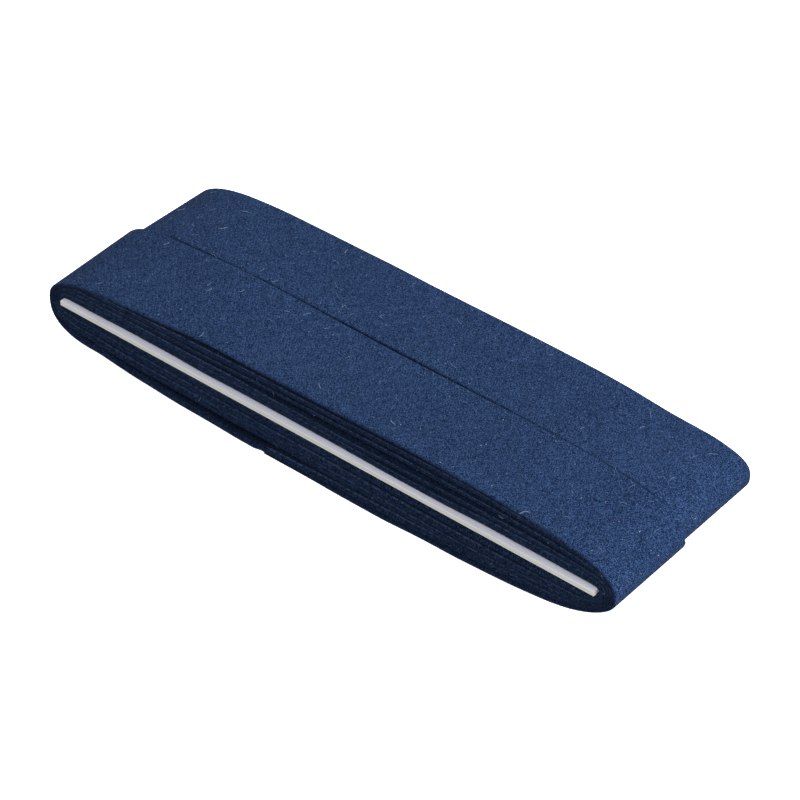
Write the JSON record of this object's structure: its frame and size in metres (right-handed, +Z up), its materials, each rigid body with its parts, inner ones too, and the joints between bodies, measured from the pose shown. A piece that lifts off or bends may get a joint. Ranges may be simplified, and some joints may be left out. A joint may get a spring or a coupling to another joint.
{
  "type": "card of bias tape",
  "caption": "Thin pale board with folded navy cotton bias tape wound flat round it in two lanes, side by side.",
  "frame": {"origin": "middle of the bounding box, on the surface that the part lies on", "axes": "+X along the board, +Y from the front lane to the back one, +Z up, through the thickness of the winding"},
  "size_m": [0.1297, 0.0402, 0.0191],
  "materials": {
    "board": "pale uncoated paperboard, cut edge",
    "tape": "navy plain-weave cotton cut on the bias"
  },
  "bodies": {
    "root": {"card": "board", "bias_tape": "tape"}
  },
  "joints": []
}
